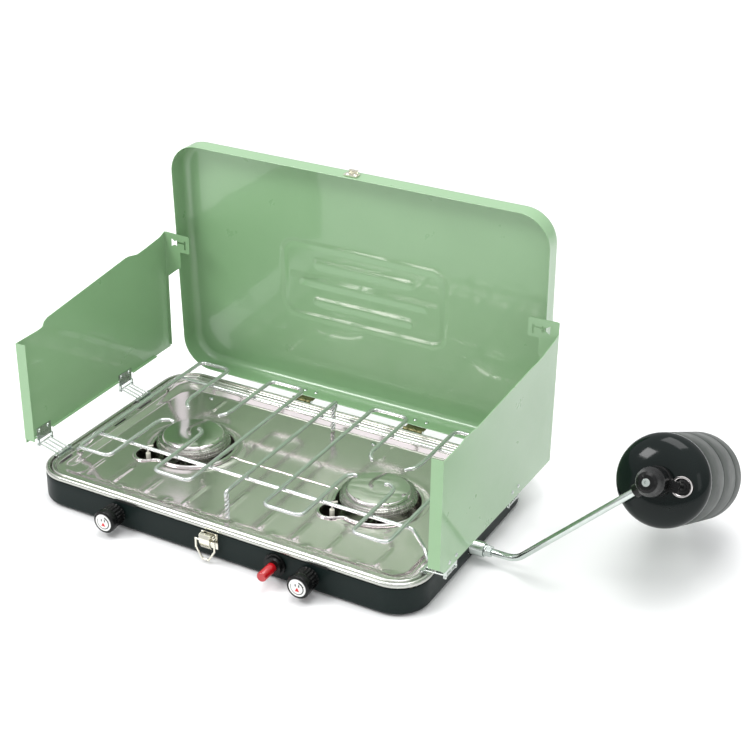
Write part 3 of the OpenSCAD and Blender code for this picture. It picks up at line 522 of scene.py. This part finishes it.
def build_tray():
    # (inset from the outside, z): under the floor, up the wall, over the lip and back.
    profile = [(inset, 0) for inset in (*TRAY_FLOOR_INSETS, 10)]
    profile += [(-x, z) for x, z in arc_points(-TRAY_BEND, TRAY_BEND, TRAY_BEND, -90, 0, 6)]
    profile += [(0, 12), (0, 20), (0, 28), (0, 33.2), (0.3, 34.2), (0.9, 34.0), (TRAY_WALL, 33)]
    profile += [(-x, z) for x, z in
                arc_points(-TRAY_BEND, TRAY_BEND, TRAY_BEND - TRAY_WALL, 0, -90, 4)]
    profile += [(inset, TRAY_WALL) for inset in reversed(TRAY_FLOOR_INSETS)]
    rings = [rounded_ring(HALF_X - inset, HALF_Y - min(inset, 148),
                          max(TRAY_CORNER - inset, 3), z, TRAY_STEPS) for inset, z in profile]
    tray = build("tray_shell", loft(rings, closed=True), "stove_base", [DARK_ENAMEL],
                 replaced="base_tray", angle=50)

    # Five floor slots and a round front hole per burner, and one opening on the right.
    front = STOVE @ shift(0, -HALF_Y, 0) @ turn(90, "X")
    right = STOVE @ shift(HALF_X, 0, 0) @ turn(90, "Z") @ turn(90, "X")
    openings = []
    for sign, _ in SIDES:
        burner_x = sign * BURNER_X
        openings += [(prism(slot_outline(burner_x + i * 16, 0, 6, 60), -2, 3), STOVE)
                     for i in range(-2, 3)]
        openings.append((prism(slot_outline(burner_x, 20, 9, 9), -3, 3), front))
    openings.append((prism(slot_outline(-8, 18, 22, 27), -4, 4), right))
    cutters = [new_object("cut", to_metres(vertices, placing), faces)
               for (vertices, faces), placing in openings]
    bpy.context.view_layer.update()
    cut(tray, cutters)


# ---------------------------------------------------------------- deck
DECK_STEPS = (230, 120, 12)
FLANGE_Z, FLANGE_INSET = 36.0, 19.6    # flat flange and its inner edge
FLOOR_Z, FLOOR_INSET, FLOOR_CORNER = 30.8, 31.2, 22
LOBE_X, LOBE_Y = -36.0, -45.0          # small lobe of each burner hole, from its centre
# (x, front end y, back end y) of the pressed ribs
RIBS = [(x, -116, end) for x, end in (
    (-203, -78), (-163, -78), (-117, -84), (-62, -70), (-12, -60), (40, -70),
    (85.5, -80), (129, -84), (189, -78))]
RIBS += [(x, 86, 120) for x in (-86, 86, 160, -160)]
DIMPLE_Y = -121
DIMPLES_X = (-203, -147, -86, -36, 12, 60, 107, 170, 210)


def deck_relief(x, y):
    """Height pressed into the deck floor: ribs, dimples, unevenness and burner rings."""
    height = 0.0
    if abs(y) < 124 and abs(x) < 224:
        for rib_x, front, back in RIBS:
            if abs(x - rib_x) < 6 and front - 4 < y < back + 4:
                height += (1.1 * math.exp(-((x - rib_x) / 2.0) ** 2)
                           * smooth_step(front - 3, front + 3, y)
                           * (1 - smooth_step(back - 5, back + 3, y)))
    if -136 < y < -108:
        for dimple_x in DIMPLES_X:
            q = ((x - dimple_x) / 7.0) ** 2 + ((y - DIMPLE_Y) / 6.0) ** 2
            if q < 4:
                height += 1.6 * math.exp(-q * 1.3)
    if abs(x) < 224 and abs(y) < 123:
        fade = min(224 - abs(x), 123 - abs(y), 20) / 20
        height += 0.12 * fade * noise.noise(Vector((x * 0.013, y * 0.016, 3.1)))
        for sign, _ in SIDES:
            distance = math.hypot(x - sign * BURNER_X, y - BURNER_Y)
            height += 0.9 * math.exp(-((distance - 60) / 4.0) ** 2) * fade
    return height


def in_burner_hole(x, y):
    for sign, _ in SIDES:
        from_x, from_y = x - sign * BURNER_X, y - BURNER_Y
        if math.hypot(from_x, from_y) < 50.6:
            return True
        if math.hypot(from_x - LOBE_X, from_y - LOBE_Y) < 17.2:
            return True
    return False


def build_deck():
    # (outward offset, z): rolled rim, inner bead, flange and the step to the floor.
    profile = arc_points(-3, 37.4, 3.4, -110, 140, 16)
    profile.append((-6.35, 38.6))
    profile += arc_points(-9.2, 38.15, 2.35, 25, 165, 8)
    profile += [(-12.2, 37.0), (-13.0, 36.3), (-14.2, 36.02), (-17, FLANGE_Z),
                (-FLANGE_INSET, FLANGE_Z)]
    profile += [(-FLANGE_INSET - (FLOOR_INSET - FLANGE_INSET) * i / 8,
                 FLOOR_Z + (FLANGE_Z - FLOOR_Z) * (1 - smooth_step(0, 1, i / 8)))
                for i in range(1, 9)]
    rings = []
    for x, z in profile:
        corner = TRAY_CORNER + x
        if -x >= 18:
            blend = smooth_step(18, 31, -x)
            corner = max(corner, 0) * (1 - blend) + FLOOR_CORNER * blend
        rings.append(rounded_ring(HALF_X + x, HALF_Y + x, corner, z, DECK_STEPS))
    # Fill the floor with ever smaller rings, coarser towards the middle.
    floor_x, floor_y = HALF_X - FLOOR_INSET, HALF_Y - FLOOR_INSET
    inset = 1.6
    while floor_y - inset > 0.3:
        rings.append(rounded_ring(floor_x - inset, floor_y - inset,
                                  max(FLOOR_CORNER - inset, 1.5), FLOOR_Z, DECK_STEPS))
        inset += 1.7 if inset < 60 else 3.4
    rings.append(rounded_ring(floor_x - floor_y + 0.05, 0.05, 0.02, FLOOR_Z, DECK_STEPS))

    vertices, faces = loft(rings)
    kept, indices = [], []
    for i, face in enumerate(faces):
        x, y = [sum(vertices[k][axis] for k in face) / 4 for axis in (0, 1)]
        if in_burner_hole(x, y):
            continue
        band = i // len(rings[0])
        kept.append(face)
        # Bands 15 to 17 are the groove between rim and bead, in dark steel as painted shade; the
        # rest below 28 are bright.
        indices.append(2 if 15 <= band <= 17 else 1 if band < 28 else 0)
    vertices = [(x, y, z + deck_relief(x, y)) for x, y, z in vertices]
    pan = build("deck_pan", (vertices, kept), "stove_base", [STEEL, RIM, STEEL_SHADE_AND_STAINS],
                replaced="drip_pan", angle=60, weld=0.02, face_materials=indices)
    sheet = pan.modifiers.new("thick", "SOLIDIFY")
    sheet.thickness = 0.0006
    sheet.offset = -1


def build_deck_slots():
    """Thin dark plates of painted shade that read as slots: front rim, side flanges, back flange.
    """
    front = shift(0, -HALF_Y - 0.28, 0) @ turn(90, "X") @ shift(0, 0, -0.1)
    parts = [moved(prism(slot_outline(x, 35.6, width, 2.6), 0, 0.25), front)
             for x, width in ((-117, 30), (142, 20))]
    flange_slots = [(sign * (HALF_X - 17), -4, 2.4, 22) for sign, _ in SIDES]
    flange_slots += [(x, HALF_Y - 16, 23, 2.6) for x in (-44, 50)]
    parts += [prism(slot_outline(*slot), 36.02, 36.2) for slot in flange_slots]
    build("deck_slots", join(parts), "stove_base", [SHADOW])


# ---------------------------------------------------------------- burners
BOWL_SEGMENTS = 240
RING_SEGMENTS = 336
# (offset from the hole outline, outline scale, z): rolled lip, wall and floor
BOWL_PROFILE = [
    (3.4, 1, 30.6), (3.3, 1, 31.6), (2.4, 1, 32.7), (0.9, 1, 33.2), (-0.6, 1, 32.9),
    (-1.5, 1, 32.0), (-1.9, 1, 30.4), (-2.2, 1, 24), (-3.0, 1, 12), (-4.4, 1, 8.6),
    (-7, 1, 7.2), (0, 0.7, 7.0), (0, 0.4, 7.0), (0, 0.1, 7.0), (0, 0.001, 7.0)]
# (radius, z) of the stacked strips
RINGS_PROFILE = [
    (9.6, 26), (13, 26), (14, 31), (24, 34), (38, 35.6), (44.6, 36.4), (45.3, 36.8),
    (45.3, 37.2), (44.2, 37.5), (44.0, 38.3), (44.0, 39.2), (45.0, 39.6), (45.0, 40.2),
    (43.6, 40.7), (43.4, 41.6), (43.4, 42.6), (44.2, 42.9), (44.2, 43.3), (42.8, 43.7),
    (42.6, 44.4), (42.4, 45.1), (41.0, 45.6), (39.6, 45.9), (30, 46), (9.6, 46), (9.6, 26)]
# (radius, z)
CAP_PROFILE = [
    (0.01, 49.15), (6, 49.2), (12, 49.2), (34.4, 49.2), (35.8, 48.95), (36.7, 48.4),
    (37.3, 47.6), (37.7, 46.9), (38, 46.3), (37.6, 46.08), (0.01, 46.06)]


def hole_radius(angle, main=51.0, lobe=16.2):
    """Outline of the burner hole: a circle joined by a smaller one towards the lobe."""
    distance = math.hypot(LOBE_X, LOBE_Y)
    off = angle - math.atan2(LOBE_Y, LOBE_X)
    off = (off + math.pi) % (2 * math.pi) - math.pi
    if abs(off) >= math.asin(lobe / distance):
        return main
    half_chord = math.sqrt(max(0, lobe ** 2 - (distance * math.sin(off)) ** 2))
    return max(main, distance * math.cos(off) + half_chord)


def smoothed_outline():
    raw = [hole_radius(2 * math.pi * i / BOWL_SEGMENTS) for i in range(BOWL_SEGMENTS)]
    weights = [math.exp(-(k / 3.0) ** 2) for k in range(-7, 8)]
    return [sum(raw[(i + k - 7) % BOWL_SEGMENTS] * weights[k] for k in range(15))
            / sum(weights) for i in range(BOWL_SEGMENTS)]


def corrugated(angle, radius, z):
    on_strip = 37.4 < z < 39.4 or 40.6 < z < 42.8 or 43.6 < z < 45.2
    return radius + 0.32 * math.cos(84 * angle) if radius > 41.5 and on_strip else radius


def build_burner(side, center, outline):
    angles = [2 * math.pi * i / BOWL_SEGMENTS for i in range(BOWL_SEGMENTS)]
    rings = [[((edge * scale + offset) * math.cos(a), (edge * scale + offset) * math.sin(a), z)
              for edge, a in zip(outline, angles)] for offset, scale, z in BOWL_PROFILE]
    # The bowl lip is polished; the wall and floor take the dark steel, painted shade in the deep
    # bowl.
    build(side + "_bowl_shell", moved(loft(rings), center), "stove_base",
          [POLISH, STEEL_SHADE_AND_STAINS], replaced=side + "_burner_bowl", angle=50,
          face_materials=per_face([0] * 6 + [1] * 8, BOWL_SEGMENTS))
    build(side + "_burner_rings", moved(lathe(RINGS_PROFILE, RING_SEGMENTS, corrugated), center),
          "stove_base", [CAST], replaced=side + "_burner_head", angle=40, weld=0.005)
    build(side + "_cap_disc", moved(lathe(CAP_PROFILE, 128), center), "stove_base",
          [POLISH], replaced=side + "_burner_cap", angle=60, weld=0.02)


# ---------------------------------------------------------------- grate
GRATE_Z = 68.8
WIRE = 2.4                             # wire radius
CROSS_Z = GRATE_Z - 2 * WIRE + 0.5
# (x on the right side, y, drop below GRATE_Z) of the two looped wires per side
GRATE_LOOPS = (
    [(146, -15, 1.5), (151, -14, 0.4), (160, -20, 0), (162, -32, 0), (162, -122, 0),
     (206, -122, 0), (206, 133, 0), (162, 133, 0), (162, 44, 0), (159, 31, 0.3),
     (151, 24, 1.5)],
    [(109, -15, 1.2), (105, -16, 0.4), (99.5, -23, 0), (98.5, -36, 0), (98.5, -122, 0),
     (49.5, -122, 0), (49.5, 133, 0), (98.5, 133, 0), (98.5, 42, 0), (101, 31, 0.3),
     (107, 25, 1.5)])
# (y, z) of the middle wire, front to back
MIDDLE_WIRE = [(-119, 58), (-121, 64), (-119.5, GRATE_Z), (-112, GRATE_Z), (118, GRATE_Z),
               (126, GRATE_Z), (125, 62), (120, 55)]
TWIST_RADIUS = 1.75


def build_grate():
    parts = [tube(fillet([(sign * x, y, GRATE_Z - drop) for x, y, drop in loop], 9), WIRE)
             for sign, _ in SIDES for loop in GRATE_LOOPS]
    parts.append(tube(fillet([(0, y, z) for y, z in MIDDLE_WIRE], 5), WIRE))
    # A twisted pair of wires stands under each end of the middle wire.
    for post_y, phase in ((-119.2, 0), (118.6, 1)):
        for k in (0, 1):
            helix = []
            for rise in np.linspace(0, 33, 60):
                angle = phase + k * math.pi + rise * 0.55
                helix.append((TWIST_RADIUS * math.cos(angle),
                              post_y + TWIST_RADIUS * math.sin(angle), 33.2 + rise))
            parts.append(tube(helix, 1.65, 10))
    # Two cross wires rest on the deck with splayed ends.
    for y in (-78, 90):
        end_y = y + math.copysign(9.6, y)
        wire = [(-238, end_y, 38.6), (-228, y, 46), (-214, y, CROSS_Z),
                (214, y, CROSS_Z), (228, y, 46), (238, end_y, 38.6)]
        parts.append(tube(fillet(wire, 10), WIRE * 0.96))
    build("grate_wires", join(parts), "stove_base", [CHROME], replaced="grate", angle=60)


# ---------------------------------------------------------------- lid
LID_STEPS = (150, 92, 14)
LID_HALF_X, LID_HALF_Y, LID_CORNER = 257.4, 157.3, 40
LID_TOP = 30.1
LID_SKIN = 0.9


def box_distance(x, y, half_x, half_y, radius):
    """Signed distance to a rounded rectangle."""
    out_x, out_y = abs(x) - half_x + radius, abs(y) - half_y + radius
    return math.hypot(max(out_x, 0), max(out_y, 0)) + min(max(out_x, out_y), 0) - radius


def emboss(x, y):
    """A raised outline around three raised bars."""
    height = 1.5 * math.exp(-(box_distance(x, y - 6, 113, 50, 18) / 2.4) ** 2)
    for i in (-1, 0, 1):
        distance = box_distance(x, y - 6 - i * 26, 90 - abs(i) * 20, 5, 4.5)
        height += 1.5 * (1 - smooth_step(-2.0, 0.8, distance))
    return height


def lid_relief(x, y):
    edge = min(LID_HALF_X - abs(x), LID_HALF_Y - abs(y), 40)
    height = emboss(x, y) * 0.85
    if edge > 10:
        height += 0.5 * noise.noise(Vector((x * 0.008, y * 0.009, 0.4))) * (edge - 10) / 30
    return height


def build_lid():
    def bend(radius):
        angles = [math.radians(a) for a in range(10, 91, 10)]
        return [(10.1 - radius * math.cos(a), 20.1 + radius * math.sin(a)) for a in angles]

    # (inset, z) of the wall, from the open edge to the flat top
    outer = [(0.9, 0.35), (0.45, 0.0), (0.0, 0.25), (-0.1, 0.9), (-0.1, 2.0), (0.05, 3.0),
             (0.1, 8), (0.1, 14), (0.1, 19)] + bend(10)
    inner = [(0.95, 1.2), (1.0, 3), (1.0, 8), (1.0, 14), (1.0, 19)] + bend(9.1)
    flat = []
    inset = 13.0
    while inset < LID_HALF_Y - 1:
        flat.append(inset)
        inset += 3.0
    profile = [(inset, LID_TOP - LID_SKIN) for inset in reversed(flat)]
    profile += inner[::-1] + outer + [(inset, LID_TOP) for inset in flat]
    rings = [rounded_ring(LID_HALF_X - inset, LID_HALF_Y - inset, max(LID_CORNER - inset, 2),
                          z, LID_STEPS) for inset, z in profile]
    vertices, faces = loft(rings, capped=True)
    vertices = [(x, y, z + lid_relief(x, y) if z > 28.9 else z) for x, y, z in vertices]
    build("lid_shell", (vertices, faces), "lid", [GREEN],
          placing=LID_HINGE @ shift(0, -5.9 - LID_HALF_Y, 0), replaced="lid", angle=60)


# ---------------------------------------------------------------- wire links
LINK_INNER = (245.5, 43)               # x and z of the pivot nearer the stove
LINK_OUTER_X = 273


def build_links(sign, side, outer_z):
    near_x, near_z = sign * LINK_INNER[0], LINK_INNER[1]
    far_x = sign * LINK_OUTER_X
    parts = []
    for y in (-104, 57):
        for low, high in ((-9.4, -3.4), (3.4, 9.4)):
            path = [(near_x, y + low - 4, near_z), (near_x, y + low, near_z),
                    (far_x, y + low, outer_z), (far_x, y + high, outer_z),
                    (near_x, y + high, near_z), (near_x, y + high + 4, near_z)]
            parts.append(tube(fillet(path, 1.8, 4), 1.02, 10))
        for x, z in ((near_x, near_z), (far_x, outer_z)):
            parts.append(tube([(x, y - 14, z), (x, y, z), (x, y + 14, z)], 1.1, 12))
    build(side + "_link_wires", join(parts), side + "_links", [CHROME],
          replaced=side + "_wire_links", angle=60)


# ---------------------------------------------------------------- knobs
# (radius, depth behind the front face)
KNOB_PROFILE = [
    (0.01, 1.0), (10.0, 1.0), (10.62, 0.9), (10.75, 0.5), (11.0, 0.12), (11.6, 0.0),
    (12.5, 0.08), (13.3, 0.5), (13.85, 1.2), (14.0, 2.0), (14.0, 5), (14.0, 8.4),
    (13.8, 9.2), (13.4, 9.8), (13.1, 10.3), (13.0, 11.2), (13.05, 12), (13.05, 16),
    (13.05, 20), (13.05, 22.6), (12.9, 23.5), (12.4, 24.2), (11.6, 24.6), (3.1, 24.6),
    (3.1, 21), (0.01, 21)]
INK_FRONT = -0.09
SCALE_RADIUS = 8.3


def ribbed(angle, radius, z):
    if radius > 12.2 and 10.5 < z < 23.2:
        return radius - 0.5 + 0.75 * max(-0.6, math.cos(20 * angle))
    return radius


def tapered_arc(steps=56, start=math.radians(-75), end=math.radians(205)):
    vertices, faces = [], []
    for i in range(steps + 1):
        angle = start + (end - start) * i / steps
        width = 0.55 + 1.5 * (1 - i / steps) ** 2
        vertices += [(r * math.cos(angle), r * math.sin(angle), z)
                     for r in (SCALE_RADIUS - width, SCALE_RADIUS) for z in (0.0, INK_FRONT)]
        if i < steps:
            b = 4 * i
            faces += [(b, b + 4, b + 6, b + 2), (b + 1, b + 3, b + 7, b + 5),
                      (b, b + 1, b + 5, b + 4), (b + 2, b + 6, b + 7, b + 3)]
    b = 4 * steps
    faces += [(0, 2, 3, 1), (b, b + 1, b + 3, b + 2)]
    return vertices, faces


def build_knob(side):
    body = side + "_control"
    build(side + "_knob_grip", lathe(KNOB_PROFILE, 240, ribbed), body, [BLACK],
          placing=control_frame(side + "_knob"), replaced=side + "_knob", angle=40, weld=0.02)
    # Print on the dial: a tapered arc, a dot, two short strokes and a red triangle.
    face = control_frame(side + "_dial")
    turns = [2 * math.pi * k / 20 for k in range(20)]
    marks = [[(7.4 + 0.75 * math.cos(t), -3.6 + 0.75 * math.sin(t)) for t in turns]]
    marks += [slot_outline(x, -3.0, 1.5, 3.4) for x in (-2.2, 2.2)]
    build(side + "_dial_scale", join([tapered_arc()] + [prism(m, INK_FRONT, 0) for m in marks]),
          body, [INK], placing=face, angle=30)
    build(side + "_dial_pointer", prism([(-2.9, 4.6), (2.9, 4.6), (0, -0.6)], INK_FRONT, 0),
          body, [RED_INK], placing=face, angle=30)


# ---------------------------------------------------------------- gas cylinder
TANK_RADIUS = 51.0
NECK_RADIUS, NECK_Z = 11.4, 28.4       # z runs along the cylinder from the regulator
SIDE_Z = 50.0                          # where the dome meets the side
TANK_SEGMENTS = 160
CUP_SEGMENTS = 72
# (step inwards, z from the groove centre)
GROOVE = ((0, -1.2), (0.15, -0.7), (0.75, -0.15), (0.75, 0.35), (0.15, 0.9), (0, 1.4))
# (radius, z)
CUP_PROFILE = [
    (0.01, 28.9), (2.2, 28.9), (2.6, 28.6), (3.0, 28.9), (5.2, 29.0), (5.6, 28.5),
    (6.2, 28.9), (8.6, 28.9), (8.9, 27.6), (9.4, 26.9), (10.3, 26.7), (11.2, 26.9),
    (11.6, 27.8), (11.8, 33), (0.01, 33)]


def build_cylinder():
    profile = [(NECK_RADIUS, 28.6)]
    for i in range(17):
        a = math.radians(90 - 90 * i / 16)
        profile.append((NECK_RADIUS + (TANK_RADIUS - NECK_RADIUS) * max(0.0, math.cos(a)) ** 0.97,
                        NECK_Z + (SIDE_Z - NECK_Z) * (1 - math.sin(a))))
    for groove in (2.2, 64, 126):
        profile += [(TANK_RADIUS - step, SIDE_Z + groove + z) for step, z in GROOVE]
    profile += [(TANK_RADIUS, SIDE_Z + 140), (TANK_RADIUS, SIDE_Z + 156)]
    for a in map(math.radians, (15, 30, 45, 60, 75, 88)):
        profile.append((TANK_RADIUS - 12 + 12 * math.cos(a), SIDE_Z + 156 + 12 * math.sin(a)))
    profile += [(34, SIDE_Z + 168), (20, SIDE_Z + 167.4), (0.01, SIDE_Z + 167)]
    bands = []
    for (radius, z), (next_radius, next_z) in zip(profile, profile[1:]):
        middle = (z + next_z) / 2
        sunk = max(radius, next_radius) < TANK_RADIUS - 0.1
        in_groove = sunk and SIDE_Z + 3 < middle < SIDE_Z + 150
        # Faces sunk in a groove take SHADOW, painted shade in the recess.
        bands.append(0 if middle < SIDE_Z + 1.8 else 2 if in_groove else 1)
    build("cylinder_shell", lathe(profile, TANK_SEGMENTS), "gas_cylinder",
          [TANK_DOME, TANK_SIDE, SHADOW], placing=REGULATOR, replaced="cylinder_tank",
          angle=50, face_materials=per_face(bands, TANK_SEGMENTS))
    build("relief_cup", lathe(CUP_PROFILE, CUP_SEGMENTS), "gas_cylinder", [BLACK, POLISH],
          placing=REGULATOR @ shift(25, 0, 0), replaced="relief_valve", angle=45, weld=0.02,
          face_materials=per_face([0] * 7 + [1] * 6 + [0], CUP_SEGMENTS))


# ---------------------------------------------------------------- supply tube
SUPPLY_Z = 15.6
SUPPLY_BEND = 26.0


def build_supply():
    """Level tube to the right that bends up 45 degrees and stops short of the regulator."""
    corner_x = REGULATOR_X - (REGULATOR_Z - SUPPLY_Z)
    bend_x = corner_x - SUPPLY_BEND * math.tan(math.radians(22.5))
    path = [(262, SUPPLY_Z), (bend_x, SUPPLY_Z)]
    for a in map(math.radians, range(5, 46, 5)):
        path.append((bend_x + SUPPLY_BEND * math.sin(a),
                     SUPPLY_Z + SUPPLY_BEND * (1 - math.cos(a))))
    path.append((REGULATOR_X - 9 * 0.7071, REGULATOR_Z - 9 * 0.7071))
    build("supply_tube", tube([(x, REGULATOR_Y, z) for x, z in path], 4.0, 32), "supply",
          [ZINC], replaced="regulator_tube", angle=60)


# ---------------------------------------------------------------- stage, light, camera
# Everything from here on is in metres.


def build_floor():
    floor = new_object("floor", [(-6, -6, 0), (6, -6, 0), (6, 8, 0), (-6, 8, 0)], [(0, 1, 2, 3)])
    pale = bpy.data.materials.new("floor_pale")
    pale.use_nodes = True
    set_inputs(pale.node_tree.nodes["Principled BSDF"],
               {"Base Color": (0.93, 0.93, 0.93, 1), "Roughness": 0.6})
    floor.data.materials.append(pale)


def build_world():
    """Cool white surroundings, brighter overhead."""
    world = bpy.data.worlds.new("studio")
    world.use_nodes = True
    tree = world.node_tree
    direction = add_node(tree, "TexCoord", {}).outputs["Generated"]
    height = add_node(tree, "SeparateXYZ", {0: direction}).outputs["Z"]
    strength = remap(tree, height, 0.50, 1.25, start=-0.1, stop=0.9)
    set_inputs(tree.nodes["Background"], {"Strength": strength, "Color": (0.98, 0.99, 1.0, 1)})
    bpy.context.scene.world = world


def area_light(name, location, target, size, power):
    light = bpy.data.lights.new(name, "AREA")
    light.shape = "RECTANGLE"
    light.size, light.size_y = size
    light.energy = power
    light.color = (1, 1, 1)
    lamp = bpy.data.objects.new(name, light)
    bpy.context.scene.collection.objects.link(lamp)
    lamp.location = location
    aim = Vector(target) - Vector(location)
    lamp.rotation_euler = aim.to_track_quat("-Z", "Y").to_euler()


def build_camera():
    data = bpy.data.cameras.new("cam")
    data.sensor_width = 36
    data.lens = 73.58304
    data.shift_x = 0.00045
    data.shift_y = 0.0057
    data.clip_end = 50
    camera = bpy.data.objects.new("cam", data)
    bpy.context.scene.collection.objects.link(camera)
    right = Vector((0.87703, 0.48027, 0.01272))
    up = Vector((-0.2307, 0.398, 0.888))
    back = Vector((0.42135, -0.78161, 0.45995))
    axes = Matrix((right.normalized(), up.normalized(), back.normalized()))
    pose = axes.transposed().to_4x4()
    pose.translation = Vector((0.83988, -1.33148, 0.97184 + TRAY_BOTTOM * TO_METRES))
    camera.matrix_world = pose
    bpy.context.scene.camera = camera


for name, piece in NODES.items():
    finish_cad_piece(name, piece)
build_tray()
build_deck()
build_deck_slots()
hole_outline = smoothed_outline()
for sign, side in SIDES:
    build_burner(side, shift(sign * BURNER_X, BURNER_Y, 0), hole_outline)
build_grate()
build_lid()
build_links(-1, "left", outer_z=50.0)
build_links(1, "right", outer_z=45.0)
for _, side in SIDES:
    build_knob(side)
build_cylinder()
build_supply()
build_floor()
build_world()
area_light("key", (-1.3, -1.5, 2.2), target=(0, 0, 0.1), size=(1.1, 0.8), power=36)
area_light("top", (0.2, 0.3, 2.6), target=(0.05, 0, 0.1), size=(1.6, 1.2), power=30)
area_light("fill", (2.2, -1.0, 1.0), target=(0.1, 0, 0.1), size=(0.5, 1.0), power=1.5)
bpy.context.scene.view_settings.view_transform = "Standard"
build_camera()

bpy.context.view_layer.update()
